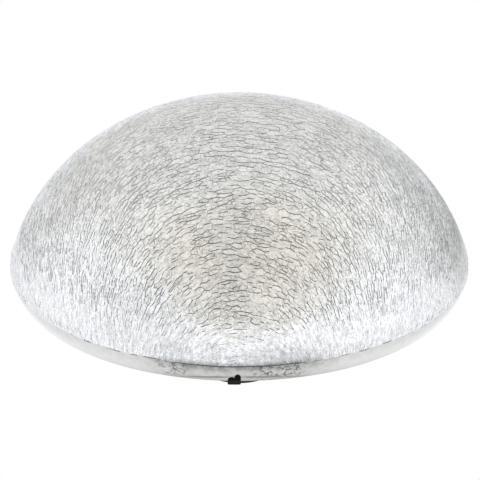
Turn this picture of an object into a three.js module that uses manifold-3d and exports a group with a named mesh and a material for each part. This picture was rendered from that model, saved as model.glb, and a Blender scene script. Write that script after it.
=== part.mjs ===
// Silvered crackle-glass garden dome: a hand-blown, mushroom-cap glass body with a short neck under it,
// a mirror film on the inside of the glass, and a rubber stopper that pulls down out of the neck.
//
// Units are millimetres and +Z is up. The origin is the centre of the stopper's flat face, which the dome
// rests on, and the dome's axis is the Z axis.

import * as THREE from 'three';
import { mergeVertices } from 'three/addons/utils/BufferGeometryUtils.js';
import Module from 'manifold-3d';

// ---------- driving dimensions ----------

const DOME_DIAMETER = 304.8;          // 12 in over the widest circle
const EQUATOR_HEIGHT = 80.9;          // of the widest circle above the ground
const WALL = 3.0;                     // blown glass thickness

// The glass's outer outline is a chain of tangent arcs, from the crown down to the neck.
const CROWN_RADIUS = 176;
const CROWN_SWEEP = 32.75;            // degrees turned from level
const SHOULDER_SWEEP = 39.1;          // its radius follows from the dome's diameter
const UPPER_RIM_RADIUS = 17.5;        // turns the last part of the way to vertical
const LOWER_RIM_RADIUS = 21.2;
const LOWER_RIM_SWEEP = 62;           // degrees turned from vertical
const UNDERSIDE_RADIUS = 290;
const FLARE_RADIUS = 14;              // blends the underside into the neck
const NECK_DIAMETER = 50.8;           // 2 in over the glass

// Mirror film on the inside of the glass, down through the neck. The real one is thinner than a hair,
// and this is its stand-in thickness.
const FILM_THICKNESS = 0.3;
const FILM_GAP = 0.1;
const FILM_STOPS_SHORT = 1.5;         // of the neck's cut end

// Rubber stopper: a flange that covers the neck's cut end, and a hollow plug that fills its bore
const FLANGE_DIAMETER = 51.4;
const FLANGE_THICKNESS = 1.6;
const FLANGE_EDGE_RADIUS = 0.5;
const PLUG_LENGTH = 22;               // from the flange's top face
const PLUG_ROOT_CLEARANCE = 0.3;      // between the plug's root and the film
const PLUG_TAPER = 1.1;               // how much smaller in radius the plug's tip is than its root
const PLUG_TIP_ROUND = 2.0;
const POCKET_DIAMETER = 30;           // moulded hollow inside the plug, open at its tip
const POCKET_DEPTH = 16;
const SEATING_GAP = 0.3;              // between the flange and the neck's cut end

// Pull lug: an ear on the flange's front edge, with two rounded lobes standing up from it
const LUG_THICKNESS = 1.8;
const LUG_GAP = 0.5;                  // between the lobes and the neck's glass
const LUG_LOBES = [
    { x: -5.4, width: 5.0, top: 3.2 },   // x is across the front, top is above the flange's top face
    { x: -1.4, width: 5.0, top: 6.4 },
];
const EAR_DEPTH = 6;                  // how far the ear reaches back into the flange
const EAR_CORNER_RADIUS = 1.4;

// Fineness of the facets
const SEGMENTS = 48;                  // round the axis
const CHORD_TOLERANCE = 0.2;          // between an outline's arc and its chords
const CORNER_STEPS = 3;               // round a small edge

// ---------- derived dimensions ----------

const RADIANS = Math.PI / 180;
const EQUATOR_RADIUS = DOME_DIAMETER / 2;
const NECK_RADIUS = NECK_DIAMETER / 2;
const CROWN_END = CROWN_SWEEP * RADIANS;
const SHOULDER_END = (CROWN_SWEEP + SHOULDER_SWEEP) * RADIANS;
const SHOULDER_RADIUS = (EQUATOR_RADIUS - CROWN_RADIUS * Math.sin(CROWN_END)
    - UPPER_RIM_RADIUS * (1 - Math.sin(SHOULDER_END))) / (Math.sin(SHOULDER_END) - Math.sin(CROWN_END));
const CROWN_HEIGHT = CROWN_RADIUS * (1 - Math.cos(CROWN_END))
    + SHOULDER_RADIUS * (Math.cos(CROWN_END) - Math.cos(SHOULDER_END))
    + UPPER_RIM_RADIUS * Math.cos(SHOULDER_END);
const NECK_END_Z = FLANGE_THICKNESS + SEATING_GAP;

// ---------- materials ----------

const glass = new THREE.MeshStandardMaterial({ color: 0xd9dbd8, roughness: 0.12, metalness: 0.0 });
const silver = new THREE.MeshStandardMaterial({ color: 0xe6e7e5, roughness: 0.08, metalness: 1.0 });
const rubber = new THREE.MeshStandardMaterial({ color: 0x0d0d0e, roughness: 0.55, metalness: 0.0 });

// ---------- outline helpers ----------

// Direction along the outline is an angle: 0 is outward and level, 90 is straight down, 180 is inward.
// A positive radius turns clockwise about a centre on the inner side, a negative radius turns back.
function arcPoints(start, direction, radius, sweep, steps) {
    const centreR = start.x - radius * Math.sin(direction);
    const centreZ = start.y - radius * Math.cos(direction);
    const points = [];
    for (let i = 1; i <= steps; i++) {
        const angle = direction + Math.sign(radius) * sweep * i / steps;
        const r = centreR + radius * Math.sin(angle);
        points.push(new THREE.Vector2(r, centreZ + radius * Math.cos(angle)));
    }
    return points;
}

// Sweep of the underside's arc: it ends where the flare can take over and reach the neck tangentially.
function undersideSweep() {
    const from = Math.PI / 2 + LOWER_RIM_SWEEP * RADIANS;
    const rimEndR = EQUATOR_RADIUS - LOWER_RIM_RADIUS * (1 - Math.cos(LOWER_RIM_SWEEP * RADIANS));
    const centreR = rimEndR - UNDERSIDE_RADIUS * Math.sin(from);
    const sine = (NECK_RADIUS + FLARE_RADIUS - centreR) / (UNDERSIDE_RADIUS + FLARE_RADIUS);
    return Math.PI - Math.asin(sine) - from;
}

// Number of chords that keeps an arc within the tolerance.
function chords(radius, sweep) {
    const widest = 2 * Math.acos(1 - CHORD_TOLERANCE / Math.abs(radius));
    return Math.ceil(sweep / widest);
}

// The glass outline moved inward by inset, from the axis at the crown to the top of the straight neck.
// Every inset has the same chords, so nested skins keep an even gap.
function glassOutline(inset) {
    const points = [new THREE.Vector2(0, EQUATOR_HEIGHT + CROWN_HEIGHT - inset)];
    const underside = undersideSweep();
    const runs = [
        { radius: CROWN_RADIUS, sweep: CROWN_END },
        { radius: SHOULDER_RADIUS, sweep: SHOULDER_END - CROWN_END },
        { radius: UPPER_RIM_RADIUS, sweep: Math.PI / 2 - SHOULDER_END },
        { radius: LOWER_RIM_RADIUS, sweep: LOWER_RIM_SWEEP * RADIANS },
        { radius: UNDERSIDE_RADIUS, sweep: underside },
        { radius: -FLARE_RADIUS, sweep: underside + LOWER_RIM_SWEEP * RADIANS },
    ];
    let direction = 0;
    for (const { radius, sweep } of runs) {
        const start = points[points.length - 1];
        points.push(...arcPoints(start, direction, radius - inset, sweep, chords(radius, sweep)));
        direction += Math.sign(radius) * sweep;
    }
    return points;
}

function turned(points) {
    return new THREE.LatheGeometry(points, SEGMENTS).rotateX(Math.PI / 2);
}

// ---------- solids ----------

function toSolid(geometry) {
    const bare = geometry.clone();
    bare.deleteAttribute('normal');
    bare.deleteAttribute('uv');
    const merged = mergeVertices(bare, 1e-4);
    return new wasm.Manifold(new wasm.Mesh({
        numProp: 3,
        vertProperties: new Float32Array(merged.attributes.position.array),
        triVerts: new Uint32Array(merged.index.array),
    }));
}

function toGeometry(solid) {
    const mesh = solid.getMesh();
    const geometry = new THREE.BufferGeometry();
    geometry.setAttribute('position', new THREE.BufferAttribute(mesh.vertProperties, 3));
    geometry.setIndex(new THREE.BufferAttribute(mesh.triVerts, 1));
    geometry.computeVertexNormals();
    return geometry;
}

// ---------- pieces ----------

// Skin between two insets of the glass outline. It is open at the bottom, where it ends at endZ.
function skin(outerInset, innerInset, endZ) {
    const end = [innerInset, outerInset].map((inset) => new THREE.Vector2(NECK_RADIUS - inset, endZ));
    return turned([...glassOutline(innerInset), ...end, ...glassOutline(outerInset).reverse()]);
}

function glassShell() {
    return skin(0, WALL, NECK_END_Z);
}

function silverLining() {
    const outerInset = WALL + FILM_GAP;
    return skin(outerInset, outerInset + FILM_THICKNESS, NECK_END_Z + FILM_STOPS_SHORT);
}

// Round stopper on the axis: flange, tapered plug and the hollow in the plug's tip.
function stopperOutline() {
    const flangeR = FLANGE_DIAMETER / 2;
    const rootR = NECK_RADIUS - WALL - FILM_GAP - FILM_THICKNESS - PLUG_ROOT_CLEARANCE;
    const tipR = rootR - PLUG_TAPER;
    const tipZ = FLANGE_THICKNESS + PLUG_LENGTH;
    const pocketR = POCKET_DIAMETER / 2;
    const edgeStart = new THREE.Vector2(flangeR - FLANGE_EDGE_RADIUS, 0);
    const edgeTop = new THREE.Vector2(flangeR, FLANGE_THICKNESS - FLANGE_EDGE_RADIUS);
    const tipStart = new THREE.Vector2(tipR, tipZ - PLUG_TIP_ROUND);
    return [
        new THREE.Vector2(0, 0),
        edgeStart,
        ...arcPoints(edgeStart, Math.PI, FLANGE_EDGE_RADIUS, -Math.PI / 2, CORNER_STEPS),
        edgeTop,
        ...arcPoints(edgeTop, Math.PI / 2, FLANGE_EDGE_RADIUS, -Math.PI / 2, CORNER_STEPS),
        new THREE.Vector2(rootR, FLANGE_THICKNESS),
        tipStart,
        ...arcPoints(tipStart, Math.PI / 2, PLUG_TIP_ROUND, -Math.PI / 2, CORNER_STEPS),
        new THREE.Vector2(pocketR, tipZ),
        new THREE.Vector2(pocketR, tipZ - POCKET_DEPTH),
        new THREE.Vector2(0, tipZ - POCKET_DEPTH),
    ];
}

// One lobe of the pull lug: a round-topped tongue that stands up from inside the ear.
function lugLobe({ x, width, top }) {
    const half = width / 2;
    const foot = FLANGE_THICKNESS / 2;
    const shape = new THREE.Shape();
    shape.moveTo(x - half, foot);
    shape.lineTo(x + half, foot);
    shape.absarc(x, FLANGE_THICKNESS + top - half, half, 0, Math.PI, false);
    const tongue = new THREE.ExtrudeGeometry(shape, { depth: LUG_THICKNESS, bevelEnabled: false });
    tongue.rotateX(Math.PI / 2);
    return tongue.translate(0, -NECK_RADIUS - LUG_GAP, 0);
}

// Flat ear in the flange's own thickness, reaching out under the lobes.
function lugEar() {
    const left = LUG_LOBES[0].x - LUG_LOBES[0].width / 2;
    const right = LUG_LOBES[1].x + LUG_LOBES[1].width / 2;
    const front = -NECK_RADIUS - LUG_GAP - LUG_THICKNESS;
    const corner = EAR_CORNER_RADIUS;
    const shape = new THREE.Shape();
    shape.moveTo(left, front + EAR_DEPTH);
    shape.absarc(left + corner, front + corner, corner, Math.PI, 1.5 * Math.PI, false);
    shape.absarc(right - corner, front + corner, corner, 1.5 * Math.PI, 2 * Math.PI, false);
    shape.lineTo(right, front + EAR_DEPTH);
    return new THREE.ExtrudeGeometry(shape, { depth: FLANGE_THICKNESS, bevelEnabled: false });
}

function rubberStopper() {
    const parts = [turned(stopperOutline()), lugEar(), ...LUG_LOBES.map(lugLobe)];
    const [body, ...rest] = parts.map(toSolid);
    return toGeometry(rest.reduce((whole, part) => whole.add(part), body));
}

// ---------- the dome ----------

const wasm = await Module();
wasm.setup();

function piece(name, geometry, material) {
    const mesh = new THREE.Mesh(geometry, material);
    mesh.name = name;
    return mesh;
}

const dome = new THREE.Group();
dome.add(piece('glass_shell', glassShell(), glass));
dome.add(piece('silver_lining', silverLining(), silver));
dome.add(piece('rubber_stopper', rubberStopper(), rubber));

export default dome;
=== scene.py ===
"""A silvered crackle-glass garden dome: a blown glass cap standing on its stopper, in a white studio."""

import math

import bmesh
import bpy
import numpy as np
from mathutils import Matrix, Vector
from mathutils.geometry import delaunay_2d_cdt
from mathutils.kdtree import KDTree


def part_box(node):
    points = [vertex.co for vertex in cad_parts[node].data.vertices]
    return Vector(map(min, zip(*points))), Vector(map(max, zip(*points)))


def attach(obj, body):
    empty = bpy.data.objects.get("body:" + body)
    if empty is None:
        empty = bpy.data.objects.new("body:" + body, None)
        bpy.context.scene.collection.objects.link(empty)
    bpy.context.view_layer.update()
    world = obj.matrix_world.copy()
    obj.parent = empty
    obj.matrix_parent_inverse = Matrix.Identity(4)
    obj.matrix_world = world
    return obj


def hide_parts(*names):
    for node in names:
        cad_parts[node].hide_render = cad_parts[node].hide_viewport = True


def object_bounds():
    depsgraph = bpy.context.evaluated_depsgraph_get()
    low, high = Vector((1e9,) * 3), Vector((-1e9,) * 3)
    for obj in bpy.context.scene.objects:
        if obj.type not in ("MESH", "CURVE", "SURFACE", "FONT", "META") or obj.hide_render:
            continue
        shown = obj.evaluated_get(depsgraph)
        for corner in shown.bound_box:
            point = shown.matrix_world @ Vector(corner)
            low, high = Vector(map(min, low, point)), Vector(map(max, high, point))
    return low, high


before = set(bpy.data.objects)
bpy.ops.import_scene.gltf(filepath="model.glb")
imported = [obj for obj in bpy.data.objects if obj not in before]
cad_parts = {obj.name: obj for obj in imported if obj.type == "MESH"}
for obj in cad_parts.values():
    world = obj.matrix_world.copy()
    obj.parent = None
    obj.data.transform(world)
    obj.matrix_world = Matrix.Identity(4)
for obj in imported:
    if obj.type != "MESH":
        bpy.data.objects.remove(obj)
cad_low, cad_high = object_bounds()

MM = 0.001
glass_low, glass_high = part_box("glass_shell")
stopper_low, stopper_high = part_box("rubber_stopper")

# ---------- sizes, in metres ----------

# The glass's outer outline: tangent arcs from the crown down to the neck.
EQUATOR_RADIUS = (glass_high.x - glass_low.x) / 2
TOP_Z = glass_high.z
NECK_END_Z = glass_low.z
CROWN_RADIUS = 176 * MM
CROWN_SWEEP = math.radians(32.75)
SHOULDER_SWEEP = math.radians(39.1)
UPPER_RIM_RADIUS = 17.5 * MM
LOWER_RIM_RADIUS = 21.2 * MM
LOWER_RIM_SWEEP = math.radians(62)
UNDERSIDE_RADIUS = 290 * MM
FLARE_RADIUS = 14 * MM
NECK_RADIUS = 25.4 * MM
WALL = 3 * MM
FILM_INSET = 3.1 * MM
FILM_THICKNESS = 0.3 * MM
FILM_STOPS_SHORT = 1.5 * MM

# Crackle: cells drawn out along rings about a point beyond the front of the crackle's edge. Seen from the
# front the rings are arches, steeper at the sides.
CRACKLE_BELOW_EQUATOR = 1.9 * MM  # along the outline
EDGE_WAVE = 0.45 * MM  # how far the crackle's edge wanders up and down
EDGE_RIPPLES = [(5, 1.0, 1.0), (13, 0.8, 4.0), (31, 0.6, 2.0)]  # waves round the dome, share and phase
EDGE_SAGS = [  # where it hangs lower, in degrees from the front
    {"at": 0, "reach": 22, "depth": 1.2 * MM},
    {"at": -11, "reach": 5.5, "depth": 0.4 * MM},
]
CELL_WIDTH = 3.3 * MM
CELL_ASPECT = 2.4
ROW_SPACING = 0.87  # of the cell width, away from the crown
SIDE_STEEPENING = 170 * MM  # distance to the side at which the rings have become much steeper
CROWN_ROWS = 1.7  # how much further apart the rows of cells are at the crown
CROWN_REACH = 70 * MM
CROWN_THINNING = 0.3  # share of the cells left out at the crown, so that the rest are larger
JITTER_ALONG = 0.7  # of the cell width, along the rings
JITTER_ACROSS = 0.38
DRIFT = 1.8 * MM  # slow wander of the rows of cells
DRIFT_SCALE = 26 * MM
RING_CENTRE_OUTSIDE = 55 * MM  # how far beyond the crackle's edge the rings' centre lies
GROOVE_HALF_WIDTH = 0.38 * MM
GROOVE_DEPTH = 0.22 * MM
EDGE_GROOVE_WIDTH = 1.0 * MM
CELL_SINK = 0.07 * MM  # how unevenly the cells' corners lie
CROSS_CRACKS = 0.25  # strength of the cracks that run across the rings
RIM_FADE = (14 * MM, 32 * MM)  # heights above the crackle's edge between which cracks gain strength
RIM_STRENGTH = 0.25  # of the cracks below that
SIDE_FADE = 0.25  # how much fainter the cracks are at the sides
BOLD_CRACKS_AT = (0.075, 0.035)  # flattened place round which the cracks are boldest
BOLD_CRACKS_REACH = 0.09
FRONT_DARK_REACH = 0.05  # half width of the front part where the crackle's edge cracks are deepest and darkest; their dark colour there is painted shade
SPILLS = [  # buckled spots in the smooth band, degrees from the front
    {"at": -15.0, "half_width": 4.5, "depth": 0.55 * MM},
    {"at": 9.5, "half_width": 8.0, "depth": 0.45 * MM},
]
BAND_COLUMN = 2.0 * MM  # between the columns of the smooth band's mesh
BAND_ROW = 1.8 * MM
EDGE_FOLLOWS = 9 * MM  # how far down the band's rows keep following the crackle's edge
CREASE_RUN = (0.9 * MM, 1.3 * MM)  # along the outline, of the two creases that make a buckled spot
CREASE_TURNS = (3.1, 1.7)  # radians per degree round the dome, of the same two

# The front as the camera sees it.
CAMERA_ELEVATION = math.radians(24.5)
FOOT_LINE = 0.9 * MM  # height, square to the view, of the thin dark line at the band's foot, a painted reflection of the stopper's flange and the shade under the dome
LUG_REFLECTION_LOBES = [  # painted reflection of the lug, a dark mark over it: middle, half width, top over the foot line
    (-4.7 * MM, 2.6 * MM, 0.2 * MM),
    (-1.0 * MM, 2.1 * MM, 1.8 * MM),
]

SEED = 11
rng = np.random.default_rng(SEED)

# ---------- the glass outline ----------


def arc(start, tilt, radius, sweep, count):
    """Points of an arc tangent to tilt, where tilt is 0 outward, 90 degrees down and 180 inward."""
    centre_r = start[0] - radius * math.sin(tilt)
    centre_z = start[1] - radius * math.cos(tilt)
    tilts = tilt + math.copysign(1, radius) * sweep * np.arange(1, count + 1) / count
    return centre_r + radius * np.sin(tilts), centre_z + radius * np.cos(tilts), tilts


def outline_runs():
    """Radius and sweep of each arc from the crown to the neck."""
    shoulder_end = CROWN_SWEEP + SHOULDER_SWEEP
    left_over = EQUATOR_RADIUS - CROWN_RADIUS * math.sin(CROWN_SWEEP)
    left_over -= UPPER_RIM_RADIUS * (1 - math.sin(shoulder_end))
    shoulder_radius = left_over / (math.sin(shoulder_end) - math.sin(CROWN_SWEEP))
    rim_tilt = math.pi / 2 + LOWER_RIM_SWEEP
    rim_end = EQUATOR_RADIUS - LOWER_RIM_RADIUS * (1 - math.cos(LOWER_RIM_SWEEP))
    centre_r = rim_end - UNDERSIDE_RADIUS * math.sin(rim_tilt)
    flare_sine = (NECK_RADIUS + FLARE_RADIUS - centre_r) / (UNDERSIDE_RADIUS + FLARE_RADIUS)
    underside_sweep = math.pi - math.asin(flare_sine) - rim_tilt
    return [
        (CROWN_RADIUS, CROWN_SWEEP),
        (shoulder_radius, SHOULDER_SWEEP),
        (UPPER_RIM_RADIUS, math.pi / 2 - shoulder_end),
        (LOWER_RIM_RADIUS, LOWER_RIM_SWEEP),
        (UNDERSIDE_RADIUS, underside_sweep),
        (-FLARE_RADIUS, underside_sweep + LOWER_RIM_SWEEP),
    ]


class Outline:
    """The outer outline by distance along it from the crown: radius, height and tilt of the tangent."""

    def __init__(self):
        r, z, tilt = [np.array([v]) for v in (0.0, TOP_Z, 0.0)]
        self.joints = [0.0]
        for radius, sweep in outline_runs():
            count = max(24, int(abs(radius) * sweep / (0.5 * MM)))
            step = arc((r[-1], z[-1]), tilt[-1], radius, sweep, count)
            r, z, tilt = [np.append(old, new) for old, new in zip((r, z, tilt), step)]
            self.joints.append(self.joints[-1] + abs(radius) * sweep)
        r, z, tilt = np.append(r, NECK_RADIUS), np.append(z, NECK_END_Z), np.append(tilt, math.pi / 2)
        self.r, self.z, self.tilt = r, z, tilt
        self.s = np.append(0, np.cumsum(np.hypot(np.diff(r), np.diff(z))))

    def at(self, s):
        return [np.interp(s, self.s, values) for values in (self.r, self.z, self.tilt)]

    def points(self, s, angle, inset=0.0):
        """Places on the surface at distance s and at an angle round the axis, moved inward by inset."""
        r, z, tilt = self.at(s)
        r = r - inset * np.sin(tilt)
        return np.stack([r * np.cos(angle), r * np.sin(angle), z - inset * np.cos(tilt)], -1)

    def normals(self, s, angle):
        tilt = self.at(s)[2]
        return np.stack([np.sin(tilt) * np.cos(angle), np.sin(tilt) * np.sin(angle), np.cos(tilt)], -1)


outline = Outline()
EQUATOR_S = outline.joints[3]
RIM_END_S = outline.joints[4]
UNDERSIDE_END_S = outline.joints[5]
FLARE_END_S = outline.joints[6]
NECK_END_S = outline.s[-1]
CRACKLE_END_S = EQUATOR_S + CRACKLE_BELOW_EQUATOR
FRONT = -math.pi / 2  # angle round the axis of the -Y side

# ---------- pieces in the scene ----------


def placed(name, data):
    """New object in the scene."""
    made = bpy.data.objects.new(name, data)
    bpy.context.scene.collection.objects.link(made)
    return made


def stand_in(piece, body, node, materials):
    """Gives the piece its materials and lets it take a CAD node's place."""
    for material in materials:
        piece.data.materials.append(material)
    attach(piece, body)
    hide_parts(node)


# ---------- crackle network ----------


def degrees_from_front(angle):
    return np.degrees((angle - FRONT + math.pi) % (2 * math.pi) - math.pi)


def crackle_end(angle):
    """Distance along the outline at which the crackle stops: it wanders a little round the dome."""
    angle = np.asarray(angle)
    wave = sum(share * np.sin(turns * angle + phase) for turns, share, phase in EDGE_RIPPLES)
    end = CRACKLE_END_S + EDGE_WAVE * wave / 2
    for sag in EDGE_SAGS:
        off = (degrees_from_front(angle) - sag["at"]) / sag["reach"]
        end = end + sag["depth"] * np.exp(-off ** 2)
    return end


def ring_centre():
    return np.array([0.0, -(CRACKLE_END_S + RING_CENTRE_OUTSIDE)])


def widen(x):
    """Stretches the flat map to the sides, which turns round rings into arches with steeper sides."""
    return x * (1 + (x / SIDE_STEEPENING) ** 2)


def unwiden(wide):
    """Undoes widen, by Newton steps."""
    x = wide / (1 + np.minimum(np.abs(wide) / SIDE_STEEPENING, 1))
    for _ in range(12):
        x = x - (widen(x) - wide) / (1 + 3 * (x / SIDE_STEEPENING) ** 2)
    return x


def squeeze(flat):
    """Flat map to the plane where cells drawn out along rings become even: the rings' angle is divided."""
    away = np.stack([widen(flat[:, 0]), flat[:, 1]], -1) - ring_centre()
    distance = np.hypot(away[:, 0], away[:, 1])
    angle = np.arctan2(away[:, 0], away[:, 1]) / CELL_ASPECT
    return np.stack([distance * np.sin(angle), distance * np.cos(angle)], -1)


def unsqueeze(even):
    distance = np.hypot(even[:, 0], even[:, 1])
    angle = np.arctan2(even[:, 0], even[:, 1]) * CELL_ASPECT
    wide = np.stack([distance * np.sin(angle), distance * np.cos(angle)], -1) + ring_centre()
    return np.stack([unwiden(wide[:, 0]), wide[:, 1]], -1)


def polar(flat):
    return np.hypot(flat[:, 0], flat[:, 1]), np.arctan2(flat[:, 1], flat[:, 0])


def to_flat(s, angle):
    return np.stack([s * np.cos(angle), s * np.sin(angle)], -1)


def unit(vectors):
    return vectors / np.maximum(np.hypot(vectors[:, 0], vectors[:, 1]), 1e-9)[:, None]


def waves(flat, scale, count=24):
    """Soft random field, about -1 to 1, made of plane waves about scale long."""
    total = np.zeros(len(flat))
    for _ in range(count):
        heading = rng.uniform(0, 2 * math.pi)
        number = 2 * math.pi / (scale * rng.uniform(0.7, 1.6))
        phase = rng.uniform(0, 2 * math.pi)
        total += np.sin(flat @ np.array([math.cos(heading), math.sin(heading)]) * number + phase)
    return np.tanh(total / math.sqrt(count))


def edge_seeds():
    """Places along the crackle's edge, and a pair of seeds astride each, evenly spaced when squeezed."""
    angle = np.linspace(0, 2 * math.pi, 20000, endpoint=False)
    curve = squeeze(to_flat(crackle_end(angle), angle))
    steps = np.diff(np.vstack([curve, curve[:1]]), axis=0)
    step_length = np.hypot(steps[:, 0], steps[:, 1])
    length = np.append(0, np.cumsum(step_length))
    count = int(length[-1] / CELL_WIDTH)
    where = (np.arange(count) + rng.uniform(-0.25, 0.25, count)) * length[-1] / count
    index = np.searchsorted(length, where % length[-1], side="right") - 1
    along = steps[index] / step_length[index, None]
    across = np.stack([along[:, 1], -along[:, 0]], -1) * CELL_WIDTH * 0.45
    return curve[index], np.vstack([curve[index] + across, curve[index] - across])


def lattice_seeds():
    """Rows of seeds along the rings, jittered and slowly wandering, over the whole squeezed plane."""
    reach = 2.6 * CRACKLE_END_S + RING_CENTRE_OUTSIDE
    crown = CRACKLE_END_S + RING_CENTRE_OUTSIDE
    seeds = []
    distance = CELL_WIDTH
    while distance < reach:
        at_crown = math.exp(-((distance - crown) / CROWN_REACH) ** 2)
        half = math.pi * 0.98 / CELL_ASPECT
        angle = np.arange(-half, half, CELL_WIDTH / distance) + rng.uniform(0, CELL_WIDTH / distance)
        seeds.append(distance * np.stack([np.sin(angle), np.cos(angle)], -1))
        distance += CELL_WIDTH * ROW_SPACING * (1 + (CROWN_ROWS - 1) * at_crown)
    seeds = np.vstack(seeds)
    from_crown = np.hypot(*unsqueeze(seeds).T)
    left_out = CROWN_THINNING * np.exp(-(from_crown / CROWN_REACH) ** 2)
    seeds = seeds[rng.uniform(size=len(seeds)) > left_out]
    jitter = rng.uniform(-1, 1, seeds.shape) * CELL_WIDTH
    away = unit(seeds)
    tangent = np.stack([away[:, 1], -away[:, 0]], -1)
    moved = seeds + tangent * jitter[:, :1] * JITTER_ALONG + away * jitter[:, 1:] * JITTER_ACROSS
    return moved + away * (DRIFT * waves(seeds, DRIFT_SCALE))[:, None]


def keep_clear(seeds, others, gap):
    """The seeds that are more than gap away from every one of the others."""
    tree = KDTree(len(others))
    for i, (x, y) in enumerate(others):
        tree.insert((x, y, 0), i)
    tree.balance()
    return np.array([seed for seed in seeds if tree.find((*seed, 0))[2] > gap])


def inside_crackle(even):
    s, angle = polar(unsqueeze(even))
    return s < crackle_end(angle)


def crackle_triangles():
    """Seeds of the cells, and the triangles between neighbouring seeds."""
    edge, pairs = edge_seeds()
    lattice = lattice_seeds()
    lattice = lattice[inside_crackle(lattice)]
    lattice = keep_clear(lattice, edge, CELL_WIDTH * 0.95)
    seeds = np.vstack([lattice, pairs])
    result = delaunay_2d_cdt([Vector(p) for p in seeds / MM], [], [], 0, 1e-6)
    return np.array([tuple(p) for p in result[0]]) * MM, np.array(result[2])


def triangles_round_seeds(triangles, inside):
    """For each seed inside the crackle, the triangles that have it as a corner."""
    fans = {}
    for t in np.nonzero(inside[triangles].any(1))[0]:
        for k in triangles[t]:
            if inside[k]:
                fans.setdefault(int(k), []).append(int(t))
    return fans


def crackle_cells():
    """Flat corners of the cracks, the cells as loops of corners, and the corners on the crackle's edge.

    A corner is the middle of a triangle of seeds, and a cell joins the corners round one seed. The corners of
    triangles that lie astride the crackle's edge are moved onto it.
    """
    seeds, triangles = crackle_triangles()
    inside = inside_crackle(seeds)
    astride = inside[triangles].any(1) & ~inside[triangles].all(1)
    even = seeds[triangles].mean(1)
    s, angle = polar(unsqueeze(even))
    s = np.where(astride, crackle_end(angle), s)
    flat = to_flat(s, angle)
    cells = []
    for k, fan in triangles_round_seeds(triangles, inside).items():
        away = even[fan] - seeds[k]
        cell = [fan[i] for i in np.argsort(np.arctan2(away[:, 1], away[:, 0]))]
        cells.append(cell if signed_area(flat[cell]) > 0 else cell[::-1])
    end_loop = np.nonzero(astride)[0]
    return flat, cells, end_loop[np.argsort(angle[end_loop])]


def signed_area(loop):
    x, y = loop[:, 0], loop[:, 1]
    return 0.5 * (x @ np.roll(y, -1) - y @ np.roll(x, -1))


def share_along_rings(start, end, middle):
    """1 for a crack that runs along the rings, and 0 for one straight across them."""
    away = unit(squeeze(middle))
    run = unit(squeeze(end) - squeeze(start))
    return np.abs(run[:, 0] * away[:, 1] - run[:, 1] * away[:, 0])


def crack_strengths(flat, cells, end_loop):
    """How deep and dark each crack is, 0 to 1, by its two corners: bold along the rings, faint across."""
    pairs = sorted({(min(a, b), max(a, b)) for cell in cells for a, b in zip(cell, cell[1:] + cell[:1])})
    first, second = np.array(pairs).T
    middle = (flat[first] + flat[second]) / 2
    along = share_along_rings(flat[first], flat[second], middle)
    bold = np.exp(-(np.hypot(*(middle - BOLD_CRACKS_AT).T) / BOLD_CRACKS_REACH) ** 2)
    field = 0.5 + 0.5 * waves(middle, 30 * MM)
    strength = rng.beta(0.7, 0.6, len(pairs)) * (0.75 + 0.55 * field + 0.5 * bold)
    strength *= CROSS_CRACKS + (1 - CROSS_CRACKS) * along ** 2
    above = CRACKLE_END_S - np.hypot(middle[:, 0], middle[:, 1])
    strength *= np.interp(above, RIM_FADE, (RIM_STRENGTH, 1))
    strength *= 1 - SIDE_FADE * np.clip(np.abs(middle[:, 0]) / EQUATOR_RADIUS, 0, 1) ** 2
    at_end = np.isin(first, end_loop) & np.isin(second, end_loop)
    # At the front the edge's cracks are made stronger: their grooves get deeper, and their colour darker as
    # painted shade.
    front = np.exp(-(middle[at_end][:, 0] / FRONT_DARK_REACH) ** 4) * (middle[at_end][:, 1] < 0)
    strokes = 0.5 + 0.5 * waves(middle[at_end], 13 * MM)
    strength[at_end] = 0.08 + 0.5 * strokes ** 2 + 0.6 * front
    return dict(zip(pairs, np.clip(strength, 0.03, 1)))


def inset_loop(loop, width):
    """A convex loop's corners moved inward by width, but never past a third of the way to its middle."""
    middle = loop.mean(0)
    before = np.roll(loop, 1, 0)
    after = np.roll(loop, -1, 0)
    first, second = unit(loop - before), unit(after - loop)
    n1 = np.stack([-first[:, 1], first[:, 0]], -1)
    n2 = np.stack([-second[:, 1], second[:, 0]], -1)
    move = (n1 + n2) / np.maximum(1 + (n1 * n2).sum(1), 0.35)[:, None] * width
    limit = 0.36 * np.hypot(*(loop - middle).T)
    size = np.maximum(np.hypot(move[:, 0], move[:, 1]), 1e-9)
    return loop + move * np.minimum(1, limit / size)[:, None]


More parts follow.
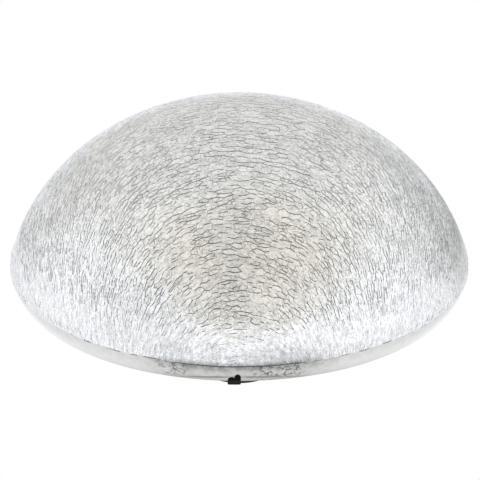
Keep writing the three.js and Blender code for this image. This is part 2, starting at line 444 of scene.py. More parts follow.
class Builder:
    """Gathers vertices with their attributes, and faces with their materials and their corners' cracks."""

    def __init__(self):
        self.places, self.flows, self.normals, self.heights = [], [], [], []
        self.faces, self.slots, self.tones, self.cracks, self.smooth = [], [], [], [], []
        self.count = 0

    def add(self, s, angle, inset=0.0):
        s, angle = np.broadcast_arrays(np.asarray(s, float), np.asarray(angle, float))
        self.places.append(outline.points(s, angle, inset))
        self.normals.append(outline.normals(s, angle))
        self.flows.append(squeeze(to_flat(s, angle)))
        self.heights.append(CRACKLE_END_S - s)
        first = self.count
        self.count += len(s)
        return np.arange(first, self.count)

    def face(self, corners, slot, tone=0.5, cracks=None, smooth=True):
        self.faces.append([int(c) for c in corners])
        self.smooth.append(smooth)
        self.slots.append(slot)
        self.tones.append(tone)
        self.cracks.extend(cracks or [0.0] * len(corners))

    def band(self, upper, lower, slot, cracks=None):
        for i in range(len(upper)):
            j = (i + 1) % len(upper)
            found = [cracks[i], 0.0, 0.0, cracks[j]] if cracks is not None else None
            self.face((upper[i], lower[i], lower[j], upper[j]), slot, 0.5, found)

    def mesh(self, name):
        mesh = bpy.data.meshes.new(name)
        mesh.from_pydata(np.vstack(self.places), [], self.faces)
        mesh.polygons.foreach_set("material_index", self.slots)
        mesh.polygons.foreach_set("use_smooth", self.smooth)
        self.store(mesh, "crack", "FLOAT", "CORNER", self.cracks)
        self.store(mesh, "cell_tone", "FLOAT", "FACE", self.tones)
        self.store(mesh, "above_edge", "FLOAT", "POINT", np.concatenate(self.heights))
        self.store(mesh, "glass_normal", "FLOAT_VECTOR", "POINT", np.vstack(self.normals))
        flow = np.vstack(self.flows)
        self.store(mesh, "flow", "FLOAT_VECTOR", "POINT", np.column_stack([flow, np.zeros(len(flow))]))
        return mesh

    def store(self, mesh, name, kind, domain, values):
        key = "vector" if kind == "FLOAT_VECTOR" else "value"
        attribute = mesh.attributes.new(name, kind, domain)
        attribute.data.foreach_set(key, np.asarray(values, np.float32).ravel())


CRACKLED, SMOOTH = 0, 1


def add_crackle(build):
    """The crackled cap: cells with sunk edges. Returns the vertices and the cracks' strengths at its edge."""
    flat, cells, end_loop = crackle_cells()
    strengths = crack_strengths(flat, cells, end_loop)
    deepest = np.zeros(len(flat))
    for (a, b), strength in strengths.items():
        deepest[a] = max(deepest[a], strength)
        deepest[b] = max(deepest[b], strength)
    used = np.nonzero(deepest)[0]
    s, angle = polar(flat)
    vertex = np.full(len(flat), -1)
    vertex[used] = build.add(s[used], angle[used], GROOVE_DEPTH * deepest[used])
    for cell in cells:
        inner_s, inner_angle = polar(inset_loop(flat[cell], GROOVE_HALF_WIDTH))
        tone = rng.uniform()
        top = build.add(inner_s, inner_angle, rng.uniform(0, CELL_SINK, len(cell)))
        outer = vertex[cell]
        build.face(top, CRACKLED, tone, smooth=False)
        for i in range(len(cell)):
            j = (i + 1) % len(cell)
            dark = strengths[min(cell[i], cell[j]), max(cell[i], cell[j])]
            build.face((outer[i], outer[j], top[j], top[i]), CRACKLED, tone, [dark, dark, 0.0, 0.0])
    return vertex[end_loop], deepest[end_loop], angle[end_loop]


def levels(start, end, step):
    """Even stops from just after start to end, no further apart than step."""
    count = max(1, math.ceil(abs(end - start) / step))
    return start + (end - start) * np.arange(1, count + 1) / count


def buckle(s, angle):
    """How far the smooth band is buckled inward: small creases in two spots just under the crackle."""
    off = degrees_from_front(angle)
    total = np.zeros(len(angle))
    for spill in SPILLS:
        share = np.exp(-((off - spill["at"]) / spill["half_width"]) ** 4)
        crease = np.sin(off * CREASE_TURNS[0] + s / CREASE_RUN[0])
        crease = crease * np.sin(off * CREASE_TURNS[1] - s / CREASE_RUN[1])
        total += spill["depth"] * share * (0.5 + 0.5 * crease)
    return total


def stitch(build, upper, upper_angle, lower, lower_angle, cracks):
    """Joins two closed rows of vertices with different numbers of columns by a strip of triangles."""
    i = j = 0
    while i < len(upper) or j < len(lower):
        next_upper = upper_angle[(i + 1) % len(upper)] + (2 * math.pi if i + 1 >= len(upper) else 0)
        next_lower = lower_angle[(j + 1) % len(lower)] + (2 * math.pi if j + 1 >= len(lower) else 0)
        a, b = i % len(upper), j % len(lower)
        if j >= len(lower) or (i < len(upper) and next_upper < next_lower):
            c = (i + 1) % len(upper)
            build.face((upper[a], lower[b], upper[c]), SMOOTH, 0.5, [cracks[a], 0.0, cracks[c]])
            i += 1
        else:
            c = (j + 1) % len(lower)
            build.face((upper[a], lower[b], lower[c]), SMOOTH, 0.5, [cracks[a], 0.0, 0.0])
            j += 1


def add_smooth_band(build, loop, cracks, angle):
    """Smooth glass from the crackle's edge to the neck's cut end. Returns the last row and its angles."""
    columns = int(2 * math.pi * EQUATOR_RADIUS / BAND_COLUMN)
    fine = -math.pi + 2 * math.pi * (np.arange(columns) + 0.5) / columns
    edge_s = crackle_end(fine)
    row = build.add(edge_s + EDGE_GROOVE_WIDTH, fine)
    stitch(build, loop, angle, row, fine, cracks)
    top = CRACKLE_END_S + EDGE_GROOVE_WIDTH
    for stop in levels(top, RIM_END_S, BAND_ROW):
        share = np.clip(1 - (stop - top) / EDGE_FOLLOWS, 0, 1)
        s = stop + (edge_s - CRACKLE_END_S) * share
        fresh = build.add(s, fine, buckle(s, fine) * np.clip((stop - top) / (2 * MM), 0, 1))
        build.band(row, fresh, SMOOTH)
        row = fresh
    coarse = fine[::3]
    coarse_s = RIM_END_S + 2 * MM
    fresh = build.add(np.full(len(coarse), coarse_s), coarse)
    stitch(build, row, fine, fresh, coarse, np.zeros(len(row)))
    row = fresh
    stops = np.concatenate([
        levels(coarse_s, UNDERSIDE_END_S, 7 * MM),
        levels(UNDERSIDE_END_S, FLARE_END_S, 1.6 * MM),
        levels(FLARE_END_S, NECK_END_S - 0.8 * MM, 5 * MM),
    ])
    for stop in stops:
        fresh = build.add(np.full(len(coarse), stop), coarse)
        build.band(row, fresh, SMOOTH)
        row = fresh
    return row, coarse


def add_lip(build, loop, angle):
    """Fire-polished lip at the neck's end: round over the cut end and into the bore."""
    half = WALL / 2
    end = NECK_END_S - half * 0.5
    for turn in np.radians([30, 60, 90, 120, 150]):
        s = end + half * 0.5 * math.sin(turn)
        row = build.add(np.full(len(angle), s), angle, half * (1 - math.cos(turn)))
        build.band(loop, row, SMOOTH)
        loop = row
    return loop


def add_inside(build, loop, angle):
    """Inner face of the glass, from the lip up to the crown."""
    stops = np.concatenate([
        [NECK_END_S - WALL / 2],
        levels(NECK_END_S - WALL / 2, FLARE_END_S, 8 * MM),
        levels(FLARE_END_S, UNDERSIDE_END_S, 4 * MM),
        levels(UNDERSIDE_END_S, RIM_END_S, 40 * MM),
        levels(RIM_END_S, EQUATOR_S, 6 * MM),
        levels(EQUATOR_S, 0.02 * EQUATOR_S, 25 * MM),
    ])
    for stop in stops:
        row = build.add(np.full(len(angle), stop), angle, WALL)
        build.band(loop, row, SMOOTH)
        loop = row
    crown = build.add([0.0], [0.0], WALL)[0]
    for i in range(len(loop)):
        build.face((loop[i], crown, loop[(i + 1) % len(loop)]), SMOOTH)


def make_glass(materials):
    """Closed skin of the whole glass, crackled and smooth, outside and inside."""
    build = Builder()
    loop, angle = add_smooth_band(build, *add_crackle(build))
    loop = add_lip(build, loop, angle)
    add_inside(build, loop, angle)
    glass = placed("crackle_glass_cap", build.mesh("crackle_glass_cap"))
    stand_in(glass, "dome", "glass_shell", materials)


# ---------- turned pieces ----------


def turned_mesh(name, profile, columns=96):
    """Surface of revolution about Z through (radius, height) points, closed where it meets the axis."""
    bm = bmesh.new()
    angles = np.linspace(0, 2 * math.pi, columns, endpoint=False)
    rows = []
    for r, z in profile:
        turns = angles if r > 1e-7 else [0.0]
        rows.append([bm.verts.new((r * math.cos(a), r * math.sin(a), z)) for a in turns])
    for upper, lower in zip(rows, rows[1:]):
        for i in range(columns):
            j = (i + 1) % columns
            corners = [upper[i % len(upper)], lower[i % len(lower)]]
            corners += [lower[j % len(lower)], upper[j % len(upper)]]
            corners = list(dict.fromkeys(corners))
            if len(corners) > 2:
                bm.faces.new(corners)
    bmesh.ops.recalc_face_normals(bm, faces=bm.faces)
    mesh = bpy.data.meshes.new(name)
    bm.to_mesh(mesh)
    bm.free()
    mesh.polygons.foreach_set("use_smooth", [True] * len(mesh.polygons))
    return mesh


def make_film(material):
    """Mirror film inside the glass, seen up the neck when the stopper is out."""
    end_z = NECK_END_Z + FILM_STOPS_SHORT
    stops = np.concatenate([
        [0], levels(0, EQUATOR_S, 6 * MM), levels(EQUATOR_S, RIM_END_S, 2 * MM),
        levels(RIM_END_S, UNDERSIDE_END_S, 10 * MM), levels(UNDERSIDE_END_S, FLARE_END_S, 2 * MM),
    ])

    def side(inset):
        places = outline.points(stops, 0.0, inset)
        return [(p[0], p[2]) for p in places] + [(NECK_RADIUS - inset, end_z)]

    profile = side(FILM_INSET) + side(FILM_INSET + FILM_THICKNESS)[::-1]
    film = placed("silver_film", turned_mesh("silver_film", profile))
    stand_in(film, "dome", "silver_lining", [material])


# ---------- rubber stopper ----------

FLANGE_RADIUS = 25.7 * MM
FLANGE_THICKNESS = 1.6 * MM
FLANGE_EDGE = 0.5 * MM
PLUG_ROOT_RADIUS = 21.7 * MM
PLUG_TIP_RADIUS = 20.6 * MM
PLUG_TIP_ROUND = 2 * MM
PLUG_RIBS = [5.5 * MM, 9.0 * MM, 12.5 * MM]  # heights of the shallow grooves moulded round the plug
RIB_GROOVE = 0.35 * MM
POCKET_RADIUS = 15 * MM
POCKET_DEPTH = 16 * MM
POCKET_MOUTH_ROUND = 0.6 * MM
POCKET_FLOOR_ROUND = 1 * MM
LUG_THICKNESS = 1.8 * MM
LUG_GAP = 0.5 * MM
LUG_LOBES = [  # X of the middle, width, top over the flange
    (-5.4 * MM, 5.0 * MM, 3.2 * MM),
    (-1.4 * MM, 5.0 * MM, 6.4 * MM),
]
LUG_EDGE = 0.4 * MM
EAR_DEPTH = 6 * MM
EAR_CORNER = 1.4 * MM
EAR_EDGE = 0.25 * MM


def round_corner(centre, radius, start, end, count=6):
    """Points of a quarter turn or so in (radius, height), from one direction in degrees to another."""
    turns = np.radians(np.linspace(start, end, count))
    return [(centre[0] + radius * math.cos(t), centre[1] + radius * math.sin(t)) for t in turns]


def plug_side(low, high):
    """Tapered side of the plug, with its moulded grooves."""
    places = [(PLUG_ROOT_RADIUS, low)]
    for height in PLUG_RIBS:
        share = (height - low) / (high - low)
        r = PLUG_ROOT_RADIUS + (PLUG_TIP_RADIUS - PLUG_ROOT_RADIUS) * share
        for offset, depth in ((-2, 0), (-1, 0.7), (0, 1), (1, 0.7), (2, 0)):
            places.append((r - depth * RIB_GROOVE, height + offset * RIB_GROOVE))
    return places + [(PLUG_TIP_RADIUS, high)]


def stopper_profile():
    """Flange, tapered plug and the pocket in its tip, as (radius, height) from axis to axis."""
    low, high = stopper_low.z, stopper_high.z
    top = low + FLANGE_THICKNESS
    rim = FLANGE_RADIUS - FLANGE_EDGE
    pocket_floor = high - POCKET_DEPTH
    profile = [(0, low), (rim - 3 * MM, low)]
    profile += round_corner((rim, low + FLANGE_EDGE), FLANGE_EDGE, -90, 0)
    profile += round_corner((rim, top - FLANGE_EDGE), FLANGE_EDGE, 0, 90)
    profile += plug_side(top, high - PLUG_TIP_ROUND)
    tip = PLUG_TIP_RADIUS - PLUG_TIP_ROUND
    profile += round_corner((tip, high - PLUG_TIP_ROUND), PLUG_TIP_ROUND, 10, 90)
    mouth = POCKET_RADIUS + POCKET_MOUTH_ROUND
    profile += round_corner((mouth, high - POCKET_MOUTH_ROUND), POCKET_MOUTH_ROUND, 90, 180)
    bottom = POCKET_RADIUS - POCKET_FLOOR_ROUND
    profile += round_corner((bottom, pocket_floor + POCKET_FLOOR_ROUND), POCKET_FLOOR_ROUND, 0, -90)
    return profile + [(0, pocket_floor)]


def slab(corners, depth, edge):
    """Flat slab from z 0 to depth with this outline and rounded edges round both faces."""
    bm = bmesh.new()
    face = bm.faces.new([bm.verts.new((x, y, 0)) for x, y in corners])
    raised = bmesh.ops.extrude_face_region(bm, geom=[face])["geom"]
    bmesh.ops.translate(bm, vec=(0, 0, depth), verts=[g for g in raised if isinstance(g, bmesh.types.BMVert)])
    bmesh.ops.recalc_face_normals(bm, faces=bm.faces)
    around = [e for e in bm.edges if abs(e.verts[0].co.z - e.verts[1].co.z) < 1e-7]
    bmesh.ops.bevel(bm, geom=around, offset=edge, segments=3, profile=0.5, affect="EDGES")
    return bm


def lobe(x, width, top):
    """One round-topped tongue of the pull lug, standing up from inside the ear."""
    half = width / 2
    base = stopper_low.z + FLANGE_THICKNESS
    arch = round_corner((x, base + top - half), half, 0, 180, 13)
    foot = base - FLANGE_THICKNESS / 2
    bm = slab([(x - half, foot), (x + half, foot)] + arch, LUG_THICKNESS, LUG_EDGE)
    for vert in bm.verts:
        vert.co = (vert.co.x, -NECK_RADIUS - LUG_GAP - vert.co.z, vert.co.y)
    return bm


def ear():
    """Flat ear in the flange's own thickness, reaching out under the lobes."""
    left = LUG_LOBES[0][0] - LUG_LOBES[0][1] / 2
    right = LUG_LOBES[1][0] + LUG_LOBES[1][1] / 2
    front = -NECK_RADIUS - LUG_GAP - LUG_THICKNESS
    corners = [(left, front + EAR_DEPTH)]
    corners += round_corner((left + EAR_CORNER, front + EAR_CORNER), EAR_CORNER, 180, 270)
    corners += round_corner((right - EAR_CORNER, front + EAR_CORNER), EAR_CORNER, 270, 360)
    bm = slab(corners + [(right, front + EAR_DEPTH)], FLANGE_THICKNESS, EAR_EDGE)
    bmesh.ops.translate(bm, vec=(0, 0, stopper_low.z), verts=bm.verts)
    return bm


def join(base, extras):
    """Unites each extra solid with the base object, so that nothing is left inside."""
    for bm in extras:
        bmesh.ops.recalc_face_normals(bm, faces=bm.faces)
        mesh = bpy.data.meshes.new("lug_part")
        bm.to_mesh(mesh)
        bm.free()
        part = placed("lug_part", mesh)
        union = base.modifiers.new("union", "BOOLEAN")
        union.operation, union.solver, union.object = "UNION", "EXACT", part
        bpy.context.view_layer.update()
        evaluated = base.evaluated_get(bpy.context.evaluated_depsgraph_get())
        whole = bpy.data.meshes.new_from_object(evaluated)
        base.modifiers.clear()
        base.data = whole
        bpy.data.objects.remove(part)
        bpy.data.meshes.remove(mesh)


def make_stopper(material):
    """Black rubber stopper with its two-lobed pull lug."""
    stopper = placed("rubber_stopper_fine", turned_mesh("stopper_body", stopper_profile()))
    join(stopper, [ear()] + [lobe(*sizes) for sizes in LUG_LOBES])
    stopper.data.materials.clear()
    stopper.data.polygons.foreach_set("material_index", [0] * len(stopper.data.polygons))
    stopper.data.polygons.foreach_set("use_smooth", [True] * len(stopper.data.polygons))
    stopper.data.set_sharp_from_angle(angle=math.radians(35))
    stand_in(stopper, "stopper", "rubber_stopper", [material])


# ---------- materials ----------

FRONT_SIDE = (-120 * MM, -80 * MM)  # Y between which the dome's front fades out
CRACKLE_FRONT = (40 * MM, 68 * MM)  # distances to the side between which the crackle's painted dark front fades
BAND_FRONT = (28 * MM, 72 * MM)  # the same for the smooth band's painted shade and painted reflections
BAND_FRONT_FOOT = (-22.5 * MM, -20.5 * MM)  # heights above the crackle's edge where that painted dark front starts
STREAKED_RIM = (16 * MM, 32 * MM)  # heights above the crackle's edge between which the streaks fade

# Painted shade: darker strips of the crackle above its edge, with the heights between which each one fades
# out, and its depth.
EDGE_STRIP = (-1.5 * MM, 4 * MM, 0.6)
EDGE_SHADE_BROAD = (4 * MM, 14 * MM, 0.12)
RIGHT_SHADE = (6 * MM, 15 * MM, 0.17)
RIGHT_SHADE_AT = 31 * MM
RIGHT_SHADE_SIDES = (10 * MM, 30 * MM)

HAIRLINE_SPACING = 2.0 * MM
HAIRLINE_WIDTH = 0.20 * MM
FOOT_LINE_SIDES = (0.2 * MM, 0.8 * MM)
# Painted reflections in the band beside its buckled spots.
SQUIGGLES = [  # X of their middle, and the distances from it between which they fade
    (-42 * MM, (6 * MM, 12 * MM)),
    (25 * MM, (12 * MM, 20 * MM)),
]

BRIGHT_SILVER = (1.0, 1.0, 1.0, 1)
SOFT_SILVER = (0.97, 0.97, 0.96, 1)
CRACK_DARK = (0.07, 0.075, 0.075, 1)
# Colours of the bare band; the top ones a little, and the front ones most, are darkened as painted shade.
BAND_TOP = (0.62, 0.605, 0.575, 1)
BAND_TOP_FRONT_SHADE = (0.22, 0.21, 0.195, 1)
BAND_FOOT = (0.66, 0.65, 0.62, 1)
BAND_FOOT_FRONT_SHADE = (0.46, 0.45, 0.42, 1)
BAND_FLECK = (0.86, 0.85, 0.83, 1)
BAND_MARK = (0.05, 0.048, 0.045, 1)
# Painted reflection of the lug: black, and matte where it lies.
LUG_REFLECTION_DARK = (0.008, 0.008, 0.008, 1)


class Nodes:
    """Short hand for building a node tree. Kinds leave out ShaderNode, and inputs have no spaces."""

    def __init__(self, tree):
        self.tree = tree
        tree.nodes.clear()

    def add(self, kind, settings=None, **inputs):
        made = self.tree.nodes.new("ShaderNode" + kind)
        for key, value in (settings or {}).items():
            setattr(made, key, value)
        for key, value in inputs.items():
            self.set(made, key.replace("_", " "), value)
        return made

    def set(self, made, key, value):
        socket = made.inputs[int(key)] if str(key).isdigit() else made.inputs[key]
        if isinstance(value, bpy.types.NodeSocket):
            self.tree.links.new(value, socket)
        else:
            socket.default_value = value

    def math(self, operation, a, b=0.0):
        made = self.add("Math", {"operation": operation})
        self.set(made, 0, a)
        self.set(made, 1, b)
        return made.outputs[0]

    def times(self, first, *others):
        for other in others:
            first = self.math("MULTIPLY", first, other)
        return first

    def vector_math(self, operation, a, b):
        made = self.add("VectorMath", {"operation": operation})
        self.set(made, 0, a)
        self.set(made, 1, b)
        return made

    def ramp(self, value, low, high, to_low=0.0, to_high=1.0, smooth=True):
        """The value's run from low to high, mapped to the run from to_low to to_high and held beyond."""
        kind = "SMOOTHSTEP" if smooth else "LINEAR"
        made = self.add("MapRange", {"interpolation_type": kind})
        for key, entry in (("Value", value), ("From Min", low), ("From Max", high),
                           ("To Min", to_low), ("To Max", to_high)):
            self.set(made, key, entry)
        return made.outputs["Result"]

    def near(self, value, middle, fade):
        """1 where the value is close to the middle, falling to 0 between the two distances of the fade."""
        return self.ramp(self.math("ABSOLUTE", self.math("SUBTRACT", value, middle)), *fade, 1.0, 0.0)

    def mix(self, share, a, b, blend="MIX"):
        made = self.add("Mix", {"data_type": "RGBA", "blend_type": blend})
        self.set(made, 0, share)
        self.set(made, 6, a)
        self.set(made, 7, b)
        return made.outputs[2]

    def grey(self, value):
        return self.add("CombineColor", Red=value, Green=value, Blue=value).outputs[0]

    def split(self, vector):
        made = self.add("SeparateXYZ")
        self.set(made, 0, vector)
        return made.outputs

    def place(self):
        return self.add("TexCoord").outputs["Object"]

    def attribute(self, name, output="Fac"):
        return self.add("Attribute", {"attribute_name": name}).outputs[output]

    def noise(self, vector, scale, detail=2.0, roughness=0.5):
        made = self.add("TexNoise", Vector=vector, Scale=scale, Detail=detail, Roughness=roughness)
        return made.outputs["Fac"]

    def bump(self, height, strength, distance):
        return self.add("Bump", Height=height, Strength=strength, Distance=distance).outputs[0]

    def mix_shaders(self, share, first, second):
        made = self.add("MixShader")
        self.set(made, 0, share)
        self.set(made, 1, first.outputs[0])
        self.set(made, 2, second.outputs[0])
        return made

    def finish(self, shader, kind="OutputMaterial"):
        self.set(self.add(kind), "Surface", shader.outputs[0])

    def principled(self, **inputs):
        self.finish(self.add("BsdfPrincipled", **inputs))


def new_material(name):
    material = bpy.data.materials.new(name)
    material.use_nodes = True
    return material, Nodes(material.node_tree)


def hairlines(n, flow):
    """Fine network of hairline cracks along the rings, 1 on a line and 0 beside it."""
    bend = n.add("TexNoise", Vector=flow, Scale=0.5 / HAIRLINE_SPACING, Detail=2.0)
    shift = n.add("VectorMath", {"operation": "SCALE"}, Scale=1.6 * HAIRLINE_SPACING)
    n.set(shift, 0, bend.outputs["Color"])
    bent = n.vector_math("ADD", flow, shift.outputs[0]).outputs[0]
    cells = n.add("TexVoronoi", {"feature": "DISTANCE_TO_EDGE", "voronoi_dimensions": "2D"},
                  Vector=bent, Scale=1 / HAIRLINE_SPACING, Randomness=1.0)
    return n.ramp(cells.outputs["Distance"], 0.0, HAIRLINE_WIDTH / HAIRLINE_SPACING, 1.0, 0.0)


def rim_streaks(n, place):
    """Streaks that run up the dome, fine round it and long in height."""
    stretched = n.vector_math("MULTIPLY", place, (1.0, 1.0, 0.16))
    return n.noise(stretched.outputs[0], 620.0)


def front_share(n, place, fade):
    """1 on the dome's front, falling to 0 between the two distances to the side that the fade gives."""
    x, y, _ = n.split(place)
    return n.times(n.near(x, 0.0, fade), n.ramp(y, *FRONT_SIDE, 1.0, 0.0))


def edge_shading(n, place, above):
    """Painted shade of the crackle just above its edge: darker along the front, and further up to the right.
    """
    front = front_share(n, place, CRACKLE_FRONT)
    low, high, right = [n.ramp(above, *strip, 0.0) for strip in (EDGE_STRIP, EDGE_SHADE_BROAD, RIGHT_SHADE)]
    dark = n.times(n.math("MAXIMUM", low, high), front)
    sides = n.near(n.split(place)[0], RIGHT_SHADE_AT, RIGHT_SHADE_SIDES)
    right = n.times(right, sides, front)
    return n.times(n.math("SUBTRACT", 1.0, dark), n.math("SUBTRACT", 1.0, right))


def crackle_shade(n, place, grain, wisps, near_rim):
    """Brightness of the silver, cell by cell, in grains and wisps, and in streaks near the rim."""
    cells = n.ramp(n.attribute("cell_tone"), 0.0, 1.0, 0.87, 1.0)
    streaks = n.ramp(rim_streaks(n, place), 0.35, 0.65, 0.86, 1.06)
    return n.times(
        cells,
        n.ramp(grain, 0.34, 0.66, 0.80, 1.12),
        n.ramp(wisps, 0.36, 0.64, 0.84, 1.10),
        n.ramp(near_rim, 0.0, 1.0, 1.0, streaks, False),
    )


def with_cracks(n, silver, place, flow, near_rim):
    """The silver with its cracks: dark lines with painted highlights on their lips, and hairlines in patches
    between them.
    """
    broken = n.ramp(n.noise(place, 460.0), 0.32, 0.62, 0.35, 1.15)
    crack = n.times(n.attribute("crack"), broken)
    # Painted highlight: the lips beside each crack are lightened towards bright silver.
    lip = n.times(n.ramp(crack, 0.01, 0.05), n.ramp(crack, 0.08, 0.20, 1.0, 0.0), 0.6)
    patches = n.ramp(n.noise(place, 70.0), 0.38, 0.6, 0.25, 1.0)
    fine = n.times(hairlines(n, flow), patches, n.ramp(near_rim, 0.0, 1.0, 1.0, 0.25), 0.7)
    dark = n.math("MAXIMUM", n.times(n.ramp(crack, 0.02, 0.24), 0.92), fine)
    return n.mix(dark, n.mix(lip, silver, BRIGHT_SILVER), CRACK_DARK)


def crackle_silver():
    """Silver seen through crackled glass: dark cracks, and soft broken reflections between them, with painted
    highlights and painted shade.
    """
    material, n = new_material("crackle_silver")
    place = n.place()
    flow = n.attribute("flow", "Vector")
    above = n.attribute("above_edge")
    near_rim = n.ramp(above, *STREAKED_RIM, 1.0, 0.0)
    cloud = n.noise(place, 26.0, 3.0)
    grain = n.noise(place, 820.0, 3.0, 0.65)
    wisps = n.noise(flow, 420.0, 3.0, 0.6)
    shade = n.times(crackle_shade(n, place, grain, wisps, near_rim), edge_shading(n, place, above))
    silver = n.mix(n.ramp(cloud, 0.3, 0.7), SOFT_SILVER, BRIGHT_SILVER)
    silver = n.mix(1.0, silver, n.grey(shade), "MULTIPLY")
    glass_normal = n.add("VectorTransform",
                         {"vector_type": "NORMAL", "convert_from": "OBJECT", "convert_to": "WORLD"},
                         Vector=n.attribute("glass_normal", "Vector"))
    n.principled(
        Base_Color=with_cracks(n, silver, place, flow, near_rim),
        Metallic=1.0,
        Roughness=n.ramp(cloud, 0.2, 0.8, 0.14, 0.22),
        Specular_Tint=(0.9, 0.9, 0.9, 1),
        Normal=n.bump(n.math("ADD", grain, wisps), 0.4, 0.3 * MM),
        Coat_Weight=0.4,
        Coat_Roughness=0.05,
        Coat_Normal=glass_normal.outputs[0],
    )
    return material


def raised_in_view(n, place):
    """Height of a place as the camera sees it, square to the view."""
    _, y, z = n.split(place)
    return n.math("ADD", n.times(z, math.cos(CAMERA_ELEVATION)), n.times(y, math.sin(CAMERA_ELEVATION)))


def lobe_mark(n, x, raised, middle, half, top):
    """Round-topped mark of the painted lug reflection, reaching down from top over the foot line: 1 inside it
    and 0 outside.
    """
    across = n.math("SUBTRACT", x, middle)
    over = n.math("MAXIMUM", n.math("SUBTRACT", raised, FOOT_LINE + top - half), 0.0)
    away = n.math("SQRT", n.math("ADD", n.times(across, across), n.times(over, over)))
    return n.ramp(away, half - 0.4 * MM, half + 0.2 * MM, 1.0, 0.0)


def squiggle_marks(n, place):
    """Painted reflection: fine dark squiggles beside the two buckled spots."""
    line = n.times(n.near(n.noise(place, 230.0, 1.5), 0.5, (0.01, 0.06)), 0.85)
    x = n.split(place)[0]
    return n.times(line, n.math("MAXIMUM", *[n.near(x, *spot) for spot in SQUIGGLES]))


def foot_line(n, place, raised):
    """Painted reflection of the stopper's flange and the shade under the dome: a thin dark line along the
    band's foot, fainter here and there.
    """
    return n.times(n.near(raised, FOOT_LINE, FOOT_LINE_SIDES), 0.78,
                   n.ramp(n.noise(place, 90.0), 0.32, 0.52, 0.35, 1.0))


def band_silver(n, front, above, fleck):
    """Colour of the bare band, darkened as painted shade: darkest and warmest at the front just below the
    crackle.
    """
    top = n.mix(front, BAND_TOP, BAND_TOP_FRONT_SHADE)
    foot = n.mix(front, BAND_FOOT, BAND_FOOT_FRONT_SHADE)
    silver = n.mix(n.ramp(above, -8 * MM, -1 * MM), foot, top)
    return n.mix(n.ramp(fleck, 0.35, 0.65, 0.0, 0.25), silver, BAND_FLECK)


def smooth_silver():
    """Smooth silvered glass: a slightly wavy mirror, with painted shade and painted reflections as dark marks
    along the front.
    """
    material, n = new_material("smooth_silver")
    place = n.place()
    above = n.attribute("above_edge")
    raised = raised_in_view(n, place)
    front = n.times(front_share(n, place, BAND_FRONT), n.ramp(above, *BAND_FRONT_FOOT))
    x = n.split(place)[0]
    # Painted reflection of the lug: a black two-lobed mark on the band.
    lug_reflection = n.times(n.math("MAXIMUM", *[lobe_mark(n, x, raised, *sizes) for sizes in LUG_REFLECTION_LOBES]), front)
    # Painted reflections along the front: the squiggles and the foot line.
    marks = n.times(n.math("MAXIMUM", squiggle_marks(n, place), foot_line(n, place, raised)), front)
    crack = n.times(n.ramp(n.attribute("crack"), 0.08, 0.5), 0.9)
    dark = n.math("MAXIMUM", n.math("MAXIMUM", marks, lug_reflection), crack)
    fleck = n.noise(place, 260.0)
    colour = n.mix(dark, band_silver(n, front, above, fleck), BAND_MARK)
    bare = n.math("SUBTRACT", 1.0, lug_reflection)
    n.principled(
        Base_Color=n.mix(lug_reflection, colour, LUG_REFLECTION_DARK),
        Metallic=bare,
        Roughness=n.ramp(fleck, 0.3, 0.7, 0.05, 0.11),
        Specular_IOR_Level=0.0,
        Normal=n.bump(n.noise(place, 38.0, 1.0), 0.25, 0.8 * MM),
        Coat_Weight=n.times(bare, 0.6),
        Coat_Roughness=0.02,
    )
    return material


def mirror_film():
    """The lining's own face, seen up the neck: dull mirror."""
    material, n = new_material("mirror_film")
    cloud = n.noise(n.place(), 60.0, 3.0)
    n.principled(
        Base_Color=n.mix(n.ramp(cloud, 0.3, 0.7), (0.80, 0.79, 0.76, 1), (0.92, 0.91, 0.89, 1)),
        Metallic=1.0,
        Roughness=n.ramp(cloud, 0.3, 0.7, 0.08, 0.2),
    )
    return material


def black_rubber():
    material, n = new_material("black_rubber")
    place = n.place()
    mottle = n.noise(place, 240.0, 4.0)
    n.principled(
        Base_Color=n.mix(mottle, (0.008, 0.008, 0.009, 1), (0.022, 0.021, 0.021, 1)),
        Roughness=n.ramp(mottle, 0.3, 0.7, 0.42, 0.62),
        Specular_IOR_Level=0.3,
        Normal=n.bump(n.noise(place, 1800.0), 0.3, 0.1 * MM),
    )
    return material


# ---------- studio ----------

WHITE = (1, 1, 1, 1)
FLOOR_BELOW = 0.1 * MM  # keeps the floor clear of the stopper's flat face
FLOOR_PAINTED_SHADE_AT = (0.46, 0.50, 0)  # middle of the floor's painted shade, a duller part behind the dome to the right
FLOOR_PAINTED_SHADE_REACH = (0.14, 0.42)
FLOOR_PAINTED_SHADOW_REACH = (0.04, 0.17)  # distances from the dome's axis between which the floor's painted shadow under the dome gives way to brighter floor
FLOOR_BRIGHT = (1.06, 1.08, 1.12, 1)
FLOOR_PAINTED_SHADE = (0.55, 0.55, 0.54, 1)
FLOOR_PAINTED_SHADOW = (0.50, 0.49, 0.47, 1)

# What the silver reflects. A patch has the heading of its middle, and the degrees from there between which
# it fades out.
SURROUND_LOW = (1.14, 1.16, 1.20, 1)
SURROUND_HIGH = (0.975, 0.985, 0.96, 1)
WARM_PATCH = {"heading": (4, 61), "fade": (37, 44), "colour": (0.90, 0.865, 0.80, 1)}
STAND_COLOUR = (0.77, 0.755, 0.70, 1)
DULL_PATCHES = [
    {"heading": (-170, 32), "fade": (30, 62), "colour": (0.85, 0.855, 0.84, 1)},
    {"heading": (-45, 16), "fade": (12, 30), "colour": (0.98, 1.0, 1.02, 1)},
    {"heading": (121, 17), "fade": (8, 24), "colour": (0.99, 1.0, 1.0, 1)},
    {"heading": (140, 0), "fade": (10, 26), "colour": (0.74, 0.75, 0.75, 1)},
]

CAMERA_DISTANCE = 10 * EQUATOR_RADIUS
CAMERA_LENS = 171.15
CAMERA_AIM_SHIFT = (0.47 * MM, 0, 13.2 * MM)  # from the middle of the widest circle


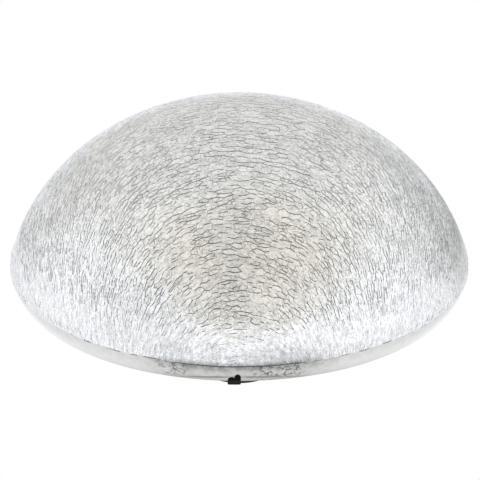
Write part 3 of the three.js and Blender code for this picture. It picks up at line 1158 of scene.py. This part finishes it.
def floor_glow(n):
    """What the floor shows: white to the camera, and in reflections a glow with a painted shadow under the
    dome and painted shade behind it.
    """
    place = n.place()
    away = n.vector_math("DISTANCE", place, FLOOR_PAINTED_SHADE_AT).outputs["Value"]
    glow = n.mix(n.ramp(away, *FLOOR_PAINTED_SHADE_REACH), FLOOR_PAINTED_SHADE, FLOOR_BRIGHT)
    out = n.vector_math("LENGTH", place, (0, 0, 0)).outputs["Value"]
    return n.mix(n.ramp(out, *FLOOR_PAINTED_SHADOW_REACH), FLOOR_PAINTED_SHADOW, glow)


def make_floor():
    """Pale floor, clear from below."""
    place = (0, 0, cad_low.z - FLOOR_BELOW)
    bpy.ops.mesh.primitive_circle_add(vertices=96, radius=6.0, fill_type="NGON", location=place)
    floor = bpy.context.object
    floor.name = "studio_floor"
    material, n = new_material("studio_floor")
    path = n.add("LightPath").outputs
    # Painted light: the floor glows, white to the camera, and with painted shadow and shade in reflections.
    glow = n.add("Emission", Color=n.mix(path["Is Camera Ray"], floor_glow(n), WHITE))
    diffuse = n.add("BsdfDiffuse", Color=(0.86, 0.86, 0.85, 1))
    seen = n.math("MAXIMUM", path["Is Camera Ray"], path["Is Glossy Ray"])
    above = n.mix_shaders(seen, diffuse, glow)
    from_below = n.add("NewGeometry").outputs["Backfacing"]
    n.finish(n.mix_shaders(from_below, above, n.add("BsdfTransparent")))
    floor.data.materials.append(material)


def heading(azimuth, elevation):
    """Unit vector towards a place in the studio: azimuth 0 is the camera's side, 90 is to its right."""
    a, e = math.radians(azimuth), math.radians(elevation)
    return Vector((math.sin(a) * math.cos(e), -math.cos(a) * math.cos(e), math.sin(e)))


def with_patch(n, colour, direction, patch):
    """The colour with one patch of the surround laid over it."""
    inner, outer = [math.cos(math.radians(angle)) for angle in patch["fade"]]
    towards = n.vector_math("DOT_PRODUCT", direction, heading(*patch["heading"])).outputs["Value"]
    return n.mix(n.ramp(towards, outer, inner), colour, patch["colour"])


def camera_stand(n, direction):
    """Upright dim shape on the camera's side."""
    x, y, z = n.split(direction)
    sides = n.near(x, -0.04, (0.10, 0.26))
    return n.times(sides, n.times(n.ramp(z, 0.42, 0.50), n.ramp(y, -0.05, 0.2, 1.0, 0.0)))


def make_world():
    """Studio that the silver reflects: bright low down, dimmer above, warm and dim over the camera."""
    world = bpy.data.worlds.new("studio")
    bpy.context.scene.world = world
    world.use_nodes = True
    n = Nodes(world.node_tree)
    direction = n.add("TexCoord").outputs["Generated"]
    colour = n.mix(n.ramp(n.split(direction)[2], 0.34, 0.72), SURROUND_LOW, SURROUND_HIGH)
    colour = with_patch(n, colour, direction, WARM_PATCH)
    colour = n.mix(camera_stand(n, direction), colour, STAND_COLOUR)
    for patch in DULL_PATCHES:
        colour = with_patch(n, colour, direction, patch)
    seen = n.add("LightPath").outputs["Is Camera Ray"]
    n.finish(n.add("Background", Color=n.mix(seen, colour, WHITE)), "OutputWorld")


def make_lights():
    """One wide soft light overhead, kept out of the reflections."""
    light = bpy.data.lights.new("overhead", "AREA")
    light.shape = "DISK"
    light.size = 2.4
    light.energy = 30
    overhead = placed("overhead", light)
    overhead.location = (0, 0, 2.0)
    overhead.visible_glossy = False


def make_camera():
    """The photo's view: from ten radii away, raised over the widest circle by the camera's elevation."""
    data = bpy.data.cameras.new("camera")
    data.sensor_width = 36
    data.lens = CAMERA_LENS
    camera = placed("camera", data)
    widest = Vector((0, 0, float(outline.at(EQUATOR_S)[1])))
    camera.location = widest + heading(0, math.degrees(CAMERA_ELEVATION)) * CAMERA_DISTANCE
    aim = widest + Vector(CAMERA_AIM_SHIFT)
    camera.rotation_mode = "QUATERNION"
    camera.rotation_quaternion = (aim - camera.location).to_track_quat("-Z", "Y")
    bpy.context.scene.camera = camera


# ---------- assembly ----------

make_glass([crackle_silver(), smooth_silver()])
make_film(mirror_film())
make_stopper(black_rubber())
make_floor()
make_world()
make_lights()
make_camera()
bpy.context.scene.view_settings.view_transform = "Standard"
